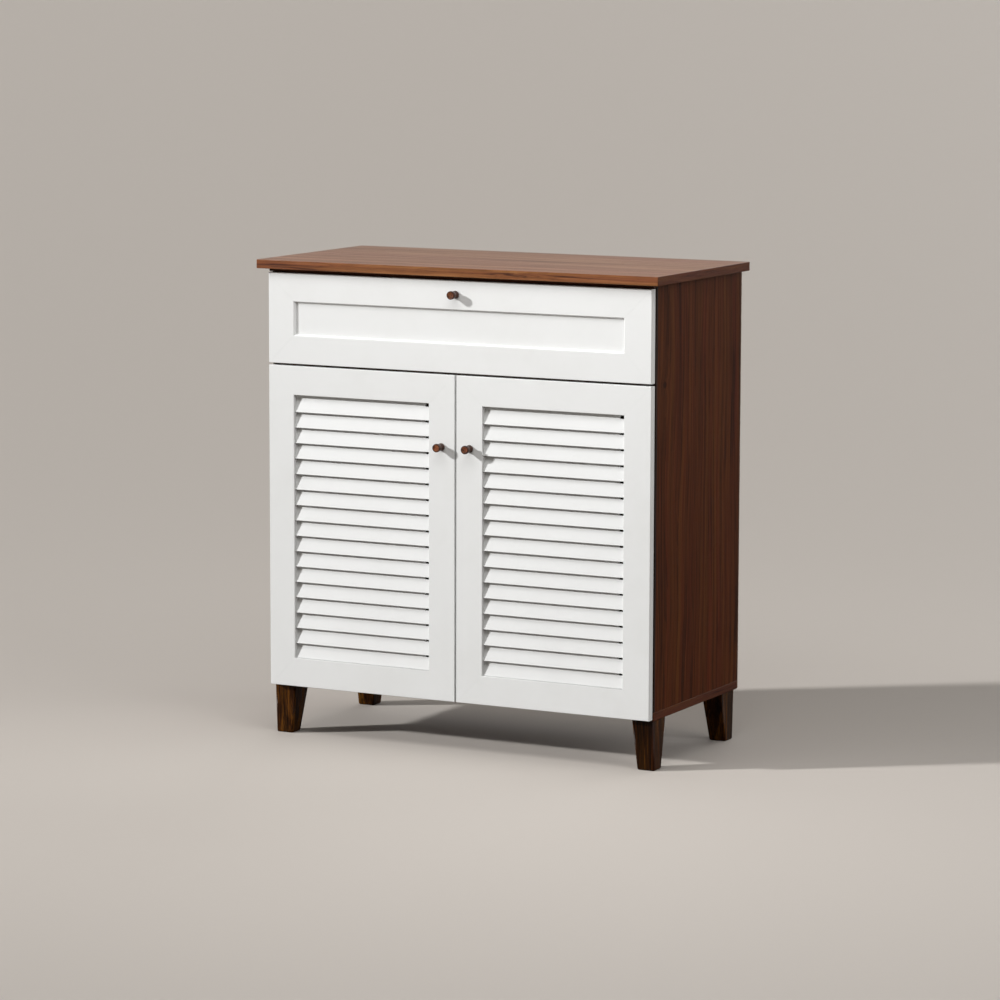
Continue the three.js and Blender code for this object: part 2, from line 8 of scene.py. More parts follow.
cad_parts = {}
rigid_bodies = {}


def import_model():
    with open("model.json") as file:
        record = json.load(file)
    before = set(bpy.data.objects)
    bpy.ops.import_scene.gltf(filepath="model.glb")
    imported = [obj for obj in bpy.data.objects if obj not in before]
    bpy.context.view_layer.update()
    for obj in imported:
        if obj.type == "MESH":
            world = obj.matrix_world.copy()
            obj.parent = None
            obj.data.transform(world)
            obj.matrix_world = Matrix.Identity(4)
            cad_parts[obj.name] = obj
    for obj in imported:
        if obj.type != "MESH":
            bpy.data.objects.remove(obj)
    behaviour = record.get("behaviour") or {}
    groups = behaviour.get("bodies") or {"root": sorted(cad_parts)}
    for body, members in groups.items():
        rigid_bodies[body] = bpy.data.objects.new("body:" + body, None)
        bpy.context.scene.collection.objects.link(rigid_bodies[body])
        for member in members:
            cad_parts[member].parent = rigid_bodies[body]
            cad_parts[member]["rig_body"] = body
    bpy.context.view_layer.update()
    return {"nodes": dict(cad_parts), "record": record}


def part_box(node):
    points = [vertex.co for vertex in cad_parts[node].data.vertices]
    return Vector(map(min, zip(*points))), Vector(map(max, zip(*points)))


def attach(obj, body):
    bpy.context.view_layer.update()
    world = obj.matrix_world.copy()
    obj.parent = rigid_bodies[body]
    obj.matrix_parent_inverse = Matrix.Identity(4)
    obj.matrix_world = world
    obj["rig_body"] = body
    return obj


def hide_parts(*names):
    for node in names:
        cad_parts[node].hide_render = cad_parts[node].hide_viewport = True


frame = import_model()

# A shoe cabinet: walnut-look case on four tapered legs, one drawer over two louvred doors.
# Everything is in metres, X to the right along the front, Y to the back, Z up from the floor.

# ---------------------------------------------------------------------------
# Studio: a plain pale floor that runs past the horizon, one crisp key light from the upper left, a
# soft light over the front, and weak broad fills from the right and from behind.

scene = bpy.context.scene
scene.view_settings.view_transform = "Standard"

FLOOR_RADIUS = 120
floor_shape = bmesh.new()
bmesh.ops.create_circle(floor_shape, cap_ends=True, segments=64, radius=FLOOR_RADIUS)
floor_mesh = bpy.data.meshes.new("studio_floor")
floor_shape.to_mesh(floor_mesh)
floor_shape.free()
floor = bpy.data.objects.new("studio_floor", floor_mesh)
scene.collection.objects.link(floor)

# The floor looks pale, and sends back no more light than boards of a middle tone would.
FLOOR_PALE = (0.64, 0.59, 0.54, 1)
FLOOR_BOUNCE = (0.17, 0.145, 0.125, 1)
floor_paint = bpy.data.materials.new("studio_floor_paint")
floor_paint.use_nodes = True
floor_tree = floor_paint.node_tree
floor_shader = floor_tree.nodes["Principled BSDF"]
floor_shader.inputs["Roughness"].default_value = 0.7
floor_tone = floor_tree.nodes.new("ShaderNodeMixRGB")
floor_tone.inputs["Color1"].default_value = FLOOR_BOUNCE
floor_tone.inputs["Color2"].default_value = FLOOR_PALE
floor_ray = floor_tree.nodes.new("ShaderNodeLightPath")
floor_tree.links.new(floor_ray.outputs["Is Camera Ray"], floor_tone.inputs["Fac"])
floor_tree.links.new(floor_tone.outputs["Color"], floor_shader.inputs["Base Color"])
floor_mesh.materials.append(floor_paint)

# The surround gives almost no light. Seen straight on, or mirrored in the cabinet, it is a pale wall.
SURROUND_LIGHT = 0.05
WALL_LIGHT = 0.52
WALL_COLOUR = (1.0, 0.93, 0.85, 1)
surround = bpy.data.worlds.new("studio_surround")
surround.use_nodes = True
surround_tree = surround.node_tree
backdrop = surround_tree.nodes["Background"]
backdrop.inputs["Color"].default_value = WALL_COLOUR
ray = surround_tree.nodes.new("ShaderNodeLightPath")
strength = surround_tree.nodes.new("ShaderNodeMapRange")
strength.inputs["To Min"].default_value = WALL_LIGHT
strength.inputs["To Max"].default_value = SURROUND_LIGHT
surround_tree.links.new(ray.outputs["Is Diffuse Ray"], strength.inputs["Value"])
surround_tree.links.new(strength.outputs["Result"], backdrop.inputs["Strength"])
scene.world = surround

# Name, strength, spread in degrees and the way the light goes
for light_name, energy, spread, direction in (
    ("key_light", 3.1, 3.5, (0.743, 0.551, -0.380)),
    ("right_fill", 1.15, 60, (-1, 0.05, -0.3)),
    ("back_fill", 0.9, 60, (-0.2, -1, -0.35)),
):
    light = bpy.data.objects.new(light_name, bpy.data.lights.new(light_name, "SUN"))
    light.data.energy = energy
    light.data.angle = radians(spread)
    light.rotation_mode = "QUATERNION"
    light.rotation_quaternion = Vector(direction).to_track_quat("-Z", "Y")
    scene.collection.objects.link(light)

SOFTBOX_PLACE = (0.2, -0.95, 1.85)
SOFTBOX_AIM = (0, -0.17, 0.75)
soft = bpy.data.objects.new("front_softbox", bpy.data.lights.new("front_softbox", "AREA"))
soft.data.shape = "RECTANGLE"
soft.data.size = 1.8
soft.data.size_y = 0.6
soft.data.energy = 12.5
soft.location = SOFTBOX_PLACE
soft.rotation_mode = "QUATERNION"
soft.rotation_quaternion = (Vector(SOFTBOX_AIM) - Vector(SOFTBOX_PLACE)).to_track_quat("-Z", "Y")
scene.collection.objects.link(soft)

# The camera stands a long way off to the right of the front, a little above the tabletop.
CAMERA_PLACE = (3.3392, -6.4102, 1.4362)
CAMERA_YAW = radians(27.542)
CAMERA_PITCH = radians(-7.884)
CAMERA_ROLL = radians(0.138)
CAMERA_LENS = 144.91
camera = bpy.data.objects.new("camera", bpy.data.cameras.new("camera"))
camera.data.sensor_width = 36
camera.data.lens = CAMERA_LENS
camera.data.clip_end = 300
level = cos(CAMERA_PITCH)
look = Vector((-sin(CAMERA_YAW) * level, cos(CAMERA_YAW) * level, sin(CAMERA_PITCH)))
camera.matrix_world = (
    Matrix.Translation(CAMERA_PLACE)
    @ look.to_track_quat("-Z", "Y").to_matrix().to_4x4()
    @ Matrix.Rotation(CAMERA_ROLL, 4, "Z")
)
scene.collection.objects.link(camera)
scene.camera = camera

# ---------------------------------------------------------------------------
# Walnut-look boards: the case, its shelves and the drawer box. Chipboard with a printed laminate on
# its faces and a band of the same print ironed on each edge, eased with a file.

LAMINATE_EASE = 0.0008
WELD_DISTANCE = 1e-6
# A face looks along an axis when that part of its normal is above this
LOOKS_ALONG = 0.5


def socket(group, name, kind, in_out, value=None):
    """A named socket on a shader group."""
    made = group.interface.new_socket(name=name, in_out=in_out, socket_type=kind)
    if value is not None:
        made.default_value = value


def feed(tree, source, target):
    tree.links.new(source, target)


def math_node(tree, operation, first, second=0.0, clamp=False):
    """Output of a Math node. Each operand is a number or another node's output."""
    made = tree.nodes.new("ShaderNodeMath")
    made.operation = operation
    made.use_clamp = clamp
    for slot_number, value in enumerate((first, second)):
        if isinstance(value, (int, float)):
            made.inputs[slot_number].default_value = value
        else:
            feed(tree, value, made.inputs[slot_number])
    return made.outputs[0]


def noise_node(tree, vector, scale, detail=2.0, roughness=0.5):
    """Fac output of a Noise Texture on a vector."""
    made = tree.nodes.new("ShaderNodeTexNoise")
    made.inputs["Scale"].default_value = scale
    made.inputs["Detail"].default_value = detail
    made.inputs["Roughness"].default_value = roughness
    made.inputs["Distortion"].default_value = 0.0
    feed(tree, vector, made.inputs["Vector"])
    return made.outputs["Fac"]


def stretch_node(tree, vector, scale, location=(0, 0, 0), rotation=(0, 0, 0)):
    """A vector after a Mapping node."""
    made = tree.nodes.new("ShaderNodeMapping")
    made.inputs["Scale"].default_value = scale
    made.inputs["Location"].default_value = location
    made.inputs["Rotation"].default_value = rotation
    feed(tree, vector, made.inputs["Vector"])
    return made.outputs["Vector"]


def ramp_node(tree, value, low, high):
    """Maps low..high of a value to 0..1, clamped and smooth."""
    made = tree.nodes.new("ShaderNodeMapRange")
    made.interpolation_type = "SMOOTHSTEP"
    made.inputs["From Min"].default_value = low
    made.inputs["From Max"].default_value = high
    feed(tree, value, made.inputs["Value"])
    return made.outputs["Result"]


def mix_node(tree, share, first, second):
    """Colour mixed from two colours or outputs."""
    made = tree.nodes.new("ShaderNodeMix")
    made.data_type = "RGBA"
    for socket_name, value in (("Factor_Float", share), ("A_Color", first), ("B_Color", second)):
        target = next(s for s in made.inputs if s.identifier == socket_name)
        if isinstance(value, (int, float, tuple)):
            target.default_value = value
        else:
            feed(tree, value, target)
    return next(s for s in made.outputs if s.identifier == "Result_Color")


def add_node(tree, first, second):
    return math_node(tree, "ADD", first, second)


def scaled(tree, value, share, centre=0.0):
    """A value, less its centre, times a share."""
    return math_node(tree, "MULTIPLY", math_node(tree, "SUBTRACT", value, centre), share)


def new_material(name):
    """A material with its node tree and its Principled shader."""
    made = bpy.data.materials.new(name)
    made.use_nodes = True
    return made, made.node_tree, made.node_tree.nodes["Principled BSDF"]


def raise_surface(tree, shader, height, strength, distance):
    """Gives a shader the relief of a height."""
    relief = tree.nodes.new("ShaderNodeBump")
    relief.inputs["Strength"].default_value = strength
    relief.inputs["Distance"].default_value = distance
    feed(tree, height, relief.inputs["Height"])
    feed(tree, relief.outputs["Normal"], shader.inputs["Normal"])


def make_grain_group():
    """Wood figure along X: wavering rings, streaks of four widths, cracks, pores and a knot."""
    group = bpy.data.node_groups.new("wood_grain", "ShaderNodeTree")
    socket(group, "Vector", "NodeSocketVector", "INPUT")
    socket(group, "Dark", "NodeSocketColor", "INPUT", (0.02, 0.008, 0.004, 1))
    socket(group, "Middle", "NodeSocketColor", "INPUT", (0.10, 0.04, 0.02, 1))
    socket(group, "Light", "NodeSocketColor", "INPUT", (0.20, 0.09, 0.04, 1))
    socket(group, "Figure", "NodeSocketFloat", "INPUT", 0.3)
    socket(group, "Broad", "NodeSocketFloat", "INPUT", 1.0)
    socket(group, "Streaks", "NodeSocketFloat", "INPUT", 0.6)
    socket(group, "Pores", "NodeSocketFloat", "INPUT", 0.6)
    socket(group, "Knot Place", "NodeSocketVector", "INPUT")
    socket(group, "Knot Size", "NodeSocketFloat", "INPUT", 0.0001)
    socket(group, "Color", "NodeSocketColor", "OUTPUT")
    socket(group, "Height", "NodeSocketFloat", "OUTPUT")
    socket(group, "Tone", "NodeSocketFloat", "OUTPUT")
    start = group.nodes.new("NodeGroupInput")
    end = group.nodes.new("NodeGroupOutput")

    # How far a point is from the knot, in knots
    away = group.nodes.new("ShaderNodeVectorMath")
    away.operation = "SUBTRACT"
    feed(group, start.outputs["Vector"], away.inputs[0])
    feed(group, start.outputs["Knot Place"], away.inputs[1])
    reach = group.nodes.new("ShaderNodeVectorMath")
    reach.operation = "LENGTH"
    feed(group, stretch_node(group, away.outputs["Vector"], (1.3, 1, 1)), reach.inputs[0])
    reach = math_node(group, "DIVIDE", reach.outputs["Value"], start.outputs["Knot Size"])
    knot = ramp_node(group, reach, 1.0, 0.4)

    # The grain wavers from side to side, and parts round the knot
    slow = noise_node(group, stretch_node(group, start.outputs["Vector"], (2.4, 5, 5)), 1, 1)
    waver = scaled(group, slow, 0.05, 0.5)
    waver = add_node(group, waver, scaled(group, ramp_node(group, reach, 4.0, 0.0), 0.006))
    sideways = group.nodes.new("ShaderNodeCombineXYZ")
    feed(group, waver, sideways.inputs["Y"])
    bent = group.nodes.new("ShaderNodeVectorMath")
    feed(group, start.outputs["Vector"], bent.inputs[0])
    feed(group, sideways.outputs["Vector"], bent.inputs[1])
    vector = bent.outputs["Vector"]

    # Rings: a wave round a pith that is tilted a little from the grain
    tilted = stretch_node(group, vector, (0.11, 1, 1), (0, 0, 0.05), (0, 0, radians(2)))
    ring = group.nodes.new("ShaderNodeTexWave")
    ring.wave_type = "RINGS"
    ring.rings_direction = "X"
    ring.wave_profile = "SAW"
    ring.inputs["Scale"].default_value = 26
    ring.inputs["Distortion"].default_value = 4
    ring.inputs["Detail"].default_value = 3
    ring.inputs["Detail Scale"].default_value = 2.2
    ring.inputs["Detail Roughness"].default_value = 0.6
    feed(group, tilted, ring.inputs["Vector"])
    late_wood = math_node(group, "POWER", ring.outputs["Fac"], 2.4)

    # Streaks as wide as a finger, a pencil and a match, hair lines, short dark cracks, and pores
    broad = noise_node(group, stretch_node(group, vector, (1.1, 26, 26)), 1, 3, 0.6)
    pencil = noise_node(group, stretch_node(group, vector, (1.9, 115, 115), (7, 0, 0)), 1, 3, 0.6)
    match = noise_node(group, stretch_node(group, vector, (5.5, 290, 290), (3, 0, 0)), 1, 2, 0.6)
    hair = noise_node(group, stretch_node(group, vector, (14, 900, 900)), 1, 2, 0.6)
    crack = noise_node(group, stretch_node(group, vector, (5, 150, 150), (11, 0, 0)), 1, 2)
    crack = ramp_node(group, crack, 0.58, 0.70)
    pore = noise_node(group, stretch_node(group, vector, (55, 1500, 1500)), 1, 1)
    pore = ramp_node(group, pore, 0.60, 0.70)

    streaks = add_node(group, scaled(group, pencil, 1.5, 0.5), scaled(group, match, 1.3, 0.5))
    streaks = add_node(group, streaks, scaled(group, hair, 0.9, 0.5))
    streaks = math_node(group, "SUBTRACT", streaks, scaled(group, crack, 0.42))
    streaks = scaled(group, streaks, start.outputs["Streaks"])
    streaks = add_node(group, streaks, scaled(group, broad, start.outputs["Broad"], 0.5))
    tone = math_node(group, "SUBTRACT", streaks, scaled(group, late_wood, start.outputs["Figure"], 0.3))
    pores = math_node(group, "MULTIPLY", pore, start.outputs["Pores"])
    tone = math_node(group, "SUBTRACT", tone, scaled(group, pores, 0.35))
    tone = math_node(group, "SUBTRACT", add_node(group, tone, 0.54), knot, clamp=True)
    feed(group, tone, end.inputs["Tone"])

    # Tone picks the colour, and a slow drift turns it a little redder or yellower
    low = mix_node(group, ramp_node(group, tone, 0.0, 0.5), start.outputs["Dark"], start.outputs["Middle"])
    colour = mix_node(group, ramp_node(group, tone, 0.45, 1.0), low, start.outputs["Light"])
    drift = group.nodes.new("ShaderNodeHueSaturation")
    hue = noise_node(group, stretch_node(group, vector, (2, 60, 60), (5, 0, 0)), 1, 2)
    feed(group, add_node(group, 0.5, scaled(group, hue, 0.045, 0.5)), drift.inputs["Hue"])
    feed(group, colour, drift.inputs["Color"])
    feed(group, drift.outputs["Color"], end.inputs["Color"])
    feed(group, math_node(group, "SUBTRACT", scaled(group, hair, 0.4), pores), end.inputs["Height"])
    return group


wood_grain = make_grain_group()


def wood_material(name, turn, shift, colours, roughness, shine=0.12, coat=0.0, **grain_values):
    """Printed or solid wood. turn brings the grain to X, and shift picks a part of the print."""
    made, tree, shader = new_material(name)
    place = tree.nodes.new("ShaderNodeTexCoord")
    grain = tree.nodes.new("ShaderNodeGroup")
    grain.node_tree = wood_grain
    feed(tree, stretch_node(tree, place.outputs["Object"], (1, 1, 1), shift, turn), grain.inputs["Vector"])
    for shade_name, colour in zip(("Dark", "Middle", "Light"), colours):
        grain.inputs[shade_name].default_value = (*colour, 1)
    for value_name, value in grain_values.items():
        grain.inputs[value_name.replace("_", " ").title()].default_value = value
    feed(tree, grain.outputs["Color"], shader.inputs["Base Color"])
    dull = math_node(tree, "SUBTRACT", roughness + 0.06, scaled(tree, grain.outputs["Tone"], 0.12))
    feed(tree, dull, shader.inputs["Roughness"])
    raise_surface(tree, shader, grain.outputs["Height"], 0.6, 0.00012)
    shader.inputs["Specular IOR Level"].default_value = shine
    shader.inputs["Coat Weight"].default_value = coat
    shader.inputs["Coat Roughness"].default_value = 0.25
    return made


GRAIN_ALONG_X = (0, 0, 0)
GRAIN_ALONG_Y = (0, 0, radians(90))
GRAIN_ALONG_Z = (0, radians(90), 0)
# Dark, middle and light tones of each finish. The tones for the tabletop's ends and for the side, rail,
# inside and drawer boards are a deeper copy of the walnut print, as painted shade.
TOP_WALNUT = ((0.060, 0.016, 0.004), (0.185, 0.060, 0.018), (0.300, 0.112, 0.036))
SHADED_WALNUT = ((0.026, 0.005, 0.0008), (0.074, 0.0165, 0.0025), (0.122, 0.033, 0.0055))
SHADED_END_WALNUT = ((0.030, 0.006, 0.001), (0.088, 0.022, 0.004), (0.142, 0.043, 0.009))
BAND_WALNUT = ((0.055, 0.014, 0.004), (0.195, 0.068, 0.023), (0.360, 0.146, 0.056))
SIDE_KNOT = (0.727, 0.045, -0.3835)
top_laminate = wood_material(
    "tabletop_laminate", GRAIN_ALONG_X, (0.13, 0.31, 0.02), TOP_WALNUT, 0.34, shine=0.46,
)
top_front_band = wood_material(
    "tabletop_front_band", GRAIN_ALONG_X, (0.7, 0.1, 0.4), BAND_WALNUT, 0.4,
    shine=0.25, streaks=0.75, broad=0.45, figure=0.15,
)
top_end_band = wood_material("tabletop_end_band", GRAIN_ALONG_Y, (0.2, 0.5, 0.1), SHADED_END_WALNUT, 0.42)
side_laminate = wood_material(
    "side_laminate", GRAIN_ALONG_Z, (0.05, 0.17, 0.0), SHADED_WALNUT, 0.46,
    shine=0.05, streaks=0.85, figure=0.3, broad=0.7, knot_place=SIDE_KNOT, knot_size=0.009,
)
rail_laminate = wood_material("rail_laminate", GRAIN_ALONG_X, (0.4, 0.05, 0.3), SHADED_WALNUT, 0.42)
inside_laminate = wood_material("inside_laminate", GRAIN_ALONG_X, (0.9, 0.4, 0.2), SHADED_WALNUT, 0.45)
drawer_laminate = wood_material("drawer_laminate", GRAIN_ALONG_Y, (0.3, 0.8, 0.6), SHADED_WALNUT, 0.45)


def merged_copy(node_name):
    """The shape of a CAD node with its loose triangles joined into flat faces."""
    shape = bmesh.new()
    shape.from_mesh(frame["nodes"][node_name].data)
    bmesh.ops.remove_doubles(shape, verts=shape.verts, dist=WELD_DISTANCE)
    bmesh.ops.dissolve_limit(shape, angle_limit=radians(1), verts=shape.verts, edges=shape.edges)
    return shape


def round_edges(shape, edges, size, segments):
    """Rounds the given edges, and shades the new faces smooth."""
    rounded = bmesh.ops.bevel(
        shape, geom=edges, offset=size, offset_type="OFFSET", segments=segments, profile=0.5,
        affect="EDGES", clamp_overlap=True, material=-1,
    )
    for face in rounded["faces"]:
        face.smooth = True


def ease_edges(shape, size, segments=2, sharper_than=radians(25), keep_out=None):
    """Rounds the sharp outer edges of a shape, apart from those that keep_out picks."""
    sharp = [
        edge for edge in shape.edges
        if len(edge.link_faces) == 2 and edge.calc_face_angle(0) > sharper_than and edge.is_convex
        and not (keep_out and keep_out(edge))
    ]
    round_edges(shape, sharp, size, segments)


def finished(shape, name, materials, node_name):
    """A piece from a shape, put in the place of the CAD node that it stands for."""
    mesh = bpy.data.meshes.new(name)
    shape.to_mesh(mesh)
    shape.free()
    for material in materials:
        mesh.materials.append(material)
    piece = bpy.data.objects.new(name, mesh)
    scene.collection.objects.link(piece)
    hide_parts(node_name)
    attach(piece, frame["nodes"][node_name]["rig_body"])


def band_edges(shape):
    """Gives a level board's faces material 0, its long edges material 1 and its ends material 2."""
    for face in shape.faces:
        if abs(face.normal.z) < LOOKS_ALONG:
            face.material_index = 2 if abs(face.normal.x) > LOOKS_ALONG else 1


for board_name, finishes in (
    ("tabletop", (top_laminate, top_front_band, top_end_band)),
    ("bottom_panel", (rail_laminate, rail_laminate, drawer_laminate)),
    ("top_strip", (rail_laminate, rail_laminate, drawer_laminate)),
):
    board_shape = merged_copy(board_name)
    band_edges(board_shape)
    ease_edges(board_shape, LAMINATE_EASE, 3)
    finished(board_shape, f"{board_name}_laminated", finishes, board_name)

# Painted shade: a near-black band along the front and back upright edges of the side panels, for the
# shadow in the gaps there
FRONT_SHADE_BAND = 0.006
BACK_SHADE_BAND = 0.0025
# Near-black tones of the painted shade band
EDGE_SHADE_TONES = ((0.004, 0.001, 0.0003), (0.016, 0.004, 0.001), (0.040, 0.012, 0.003))
side_edge_shade = wood_material("side_edge_shade", GRAIN_ALONG_Z, (0.6, 0.2, 0.1), EDGE_SHADE_TONES, 0.5)
for board_name in ("side_panel_left", "side_panel_right"):
    board_shape = merged_copy(board_name)
    low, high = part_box(board_name)
    shade_band_ends = (low.y + FRONT_SHADE_BAND, high.y - BACK_SHADE_BAND)
    for shade_band_end in shade_band_ends:
        bmesh.ops.bisect_plane(
            board_shape, geom=[*board_shape.verts, *board_shape.edges, *board_shape.faces],
            plane_co=(0, shade_band_end, 0), plane_no=(0, 1, 0),
        )
    for face in board_shape.faces:
        depth = face.calc_center_median().y
        face.material_index = 0 if shade_band_ends[0] < depth < shade_band_ends[1] else 1
    ease_edges(board_shape, LAMINATE_EASE / 2)
    finishes = (side_laminate, side_edge_shade)
    finished(board_shape, f"{board_name}_laminated", finishes, board_name)

for board_name, finish in (
    ("front_rail", rail_laminate), ("back_rail", rail_laminate), ("divider_panel", inside_laminate),
    ("lower_shelf", inside_laminate), ("upper_shelf", inside_laminate), ("drawer_back", inside_laminate),
    ("drawer_side_left", drawer_laminate), ("drawer_side_right", drawer_laminate),
):
    board_shape = merged_copy(board_name)
    ease_edges(board_shape, LAMINATE_EASE / 2)
    finished(board_shape, f"{board_name}_laminated", (finish,), board_name)

# ---------------------------------------------------------------------------
# Hardboard: the 5 mm back, nailed on behind the case, and the 3 mm bottom of the drawer, in its
# grooves. Pressed brown fibre with a fine mottle and a few darker flecks.

FIBRE_DARK = (0.12, 0.055, 0.026, 1)
FIBRE_LIGHT = (0.235, 0.125, 0.065, 1)
FIBRE_FLECK = (0.05, 0.02, 0.01, 1)


def make_fibre_material():
    made, tree, shader = new_material("pressed_hardboard")
    place = tree.nodes.new("ShaderNodeTexCoord").outputs["Object"]
    mottle = noise_node(tree, place, 60, 6, 0.7)
    fleck = noise_node(tree, stretch_node(tree, place, (700, 700, 260)), 1, 2)
    fleck = ramp_node(tree, fleck, 0.62, 0.72)
    cloud = noise_node(tree, place, 4, 2)
    share = add_node(tree, scaled(tree, mottle, 0.7), scaled(tree, cloud, 0.4))
    colour = mix_node(tree, ramp_node(tree, share, 0.3, 0.8), FIBRE_DARK, FIBRE_LIGHT)
    colour = mix_node(tree, scaled(tree, fleck, 0.5), colour, FIBRE_FLECK)
    feed(tree, colour, shader.inputs["Base Color"])
    feed(tree, add_node(tree, 0.6, scaled(tree, mottle, 0.25)), shader.inputs["Roughness"])
    raise_surface(tree, shader, mottle, 0.5, 0.0002)
    return made


pressed_hardboard = make_fibre_material()
for board_name in ("back_panel", "drawer_bottom"):
    board_shape = merged_copy(board_name)
    ease_edges(board_shape, LAMINATE_EASE / 2)
    finished(board_shape, f"{board_name}_pressed", (pressed_hardboard,), board_name)

# ---------------------------------------------------------------------------
# Legs: solid hardwood, stained dark and lacquered. The outer side is upright, the front or back leans
# in a little, and the two inner sides taper to the foot. Each is screwed up into the bottom panel.

FOOT_WIDTH = 0.033
FOOT_DEPTH = 0.030
END_TAPER = 0.005
LEG_ROUND = 0.003
FOOT_ROUND = 0.003
LEG_STAIN = ((0.006, 0.0015, 0.0002), (0.028, 0.0085, 0.0014), (0.135, 0.050, 0.008))

leg_corners = (("front", "left"), ("front", "right"), ("back", "left"), ("back", "right"))
for leg_number, (end, side) in enumerate(leg_corners):
    leg_name = f"{end}_{side}_leg"
    low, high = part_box(leg_name)
    middle = (low + high) / 2
    leg_shape = bmesh.new()
    blank = Matrix.Translation(middle) @ Matrix.Diagonal((*(high - low), 1))
    bmesh.ops.create_cube(leg_shape, size=1, matrix=blank)
    foot = [vert for vert in leg_shape.verts if vert.co.z < middle.z]
    outer_x, inward_x = (high.x, -1) if side == "right" else (low.x, 1)
    outer_y, inward_y = (high.y, -1) if end == "back" else (low.y, 1)
    for vert in foot:
        is_outer_x = abs(vert.co.x - outer_x) < FOOT_WIDTH / 2
        is_outer_y = abs(vert.co.y - outer_y) < FOOT_DEPTH / 2
        vert.co.x = outer_x + inward_x * (0 if is_outer_x else FOOT_WIDTH)
        vert.co.y = outer_y + inward_y * (END_TAPER + (0 if is_outer_y else FOOT_DEPTH))
    half_height = (high.z - low.z) / 2
    upright = [e for e in leg_shape.edges if abs(e.verts[0].co.z - e.verts[1].co.z) > half_height]
    round_edges(leg_shape, upright, LEG_ROUND, 5)
    foot_top = low.z + FOOT_ROUND / 2
    foot_rim = [e for e in leg_shape.edges if max(v.co.z for v in e.verts) < foot_top]
    round_edges(leg_shape, foot_rim, FOOT_ROUND, 4)
    # Each leg is cut from another part of the plank
    cut_from = (0.31 * leg_number, 0.17 * leg_number, 0.05)
    stain = wood_material(
        f"{leg_name}_stain", GRAIN_ALONG_Z, cut_from, LEG_STAIN, 0.3,
        shine=0.1, streaks=0.9, broad=1.8, pores=0.5,
    )
    finished(leg_shape, f"{leg_name}_tapered", (stain,), leg_name)

# ---------------------------------------------------------------------------
# Drawer front and door frames: MDF bars wrapped in a satin white foil, mitred at the corners and
# glued, with the outer edges rounded by the wrap. The drawer front also holds a sunk panel.

FOIL_WHITE = (0.842, 0.850, 0.842)
FOIL_SHADE = (0.815, 0.822, 0.810)


def make_foil_group():
    group = bpy.data.node_groups.new("foil_surface", "ShaderNodeTree")
    socket(group, "Vector", "NodeSocketVector", "INPUT")
    socket(group, "White", "NodeSocketColor", "INPUT", (0.84, 0.84, 0.82, 1))
    socket(group, "Shade", "NodeSocketColor", "INPUT", (0.80, 0.80, 0.78, 1))
    socket(group, "Gloss", "NodeSocketFloat", "INPUT", 0.4)
    socket(group, "Color", "NodeSocketColor", "OUTPUT")
    socket(group, "Roughness", "NodeSocketFloat", "OUTPUT")
    socket(group, "Height", "NodeSocketFloat", "OUTPUT")
    start = group.nodes.new("NodeGroupInput")
    end = group.nodes.new("NodeGroupOutput")
    vector = start.outputs["Vector"]
    cloud = noise_node(group, vector, 9, 4, 0.6)
    peel = noise_node(group, vector, 900, 2)
    patches = ramp_node(group, cloud, 0.4, 0.75)
    colour = mix_node(group, patches, start.outputs["White"], start.outputs["Shade"])
    feed(group, colour, end.inputs["Color"])
    uneven = scaled(group, cloud, 0.12, 0.5)
    feed(group, add_node(group, start.outputs["Gloss"], uneven), end.inputs["Roughness"])
    feed(group, peel, end.inputs["Height"])
    return group


foil_surface = make_foil_group()


def foil_material(name, gloss, white, shade):
    made, tree, shader = new_material(name)
    surface = tree.nodes.new("ShaderNodeGroup")
    surface.node_tree = foil_surface
    feed(tree, tree.nodes.new("ShaderNodeTexCoord").outputs["Object"], surface.inputs["Vector"])
    surface.inputs["White"].default_value = (*white, 1)
    surface.inputs["Shade"].default_value = (*shade, 1)
    surface.inputs["Gloss"].default_value = gloss
    feed(tree, surface.outputs["Color"], shader.inputs["Base Color"])
    feed(tree, surface.outputs["Roughness"], shader.inputs["Roughness"])
    raise_surface(tree, shader, surface.outputs["Height"], 0.25, 0.00004)
    return made


front_foil = foil_material("front_foil", 0.38, FOIL_WHITE, FOIL_SHADE)

WRAP_ROUND = 0.0009
MITRE_CLOSE = 0.0001
# Both parts of a mitre face's normal are above this
MITRE_SLANT = 0.4


def on_mitre(edge):
    """True for an edge of a slanting mitre face, which stays sharp."""
    return any(min(abs(face.normal.x), abs(face.normal.z)) > MITRE_SLANT for face in edge.link_faces)


def tighten_mitres(shape):
    """Grows a bar along its length until its mitres nearly touch the next bars'."""
    low, high = (Vector(map(pick, zip(*(v.co for v in shape.verts)))) for pick in (min, max))
    size = high - low
    axis = 0 if size.x > size.z else 2
    grow = Vector((1, 1, 1))
    grow[axis] = 1 + 2 * MITRE_CLOSE / size[axis]
    bmesh.ops.scale(shape, verts=shape.verts, vec=grow, space=Matrix.Translation(-(low + high) / 2))


for bar_owner in ("drawer_front", "left_door", "right_door"):
    for bar_name in ("top_rail", "right_stile", "bottom_rail", "left_stile"):
        node_name = f"{bar_owner}_{bar_name}"
        bar_shape = merged_copy(node_name)
        tighten_mitres(bar_shape)
        ease_edges(bar_shape, WRAP_ROUND, 3, keep_out=on_mitre)
        finished(bar_shape, f"{node_name}_foiled", (front_foil,), node_name)

panel_shape = merged_copy("drawer_front_panel")
finished(panel_shape, "drawer_front_panel_foiled", (front_foil,), "drawer_front_panel")

# ---------------------------------------------------------------------------
# Louvres: one moulded insert for each door, 17 slats that lean back and lap each other, pressed
# into the rebate of the frame. The front edge of each slat is rounded and catches the light.

SLAT_ROUND = 0.0006
SLAT_LEAST_LENGTH = 0.2
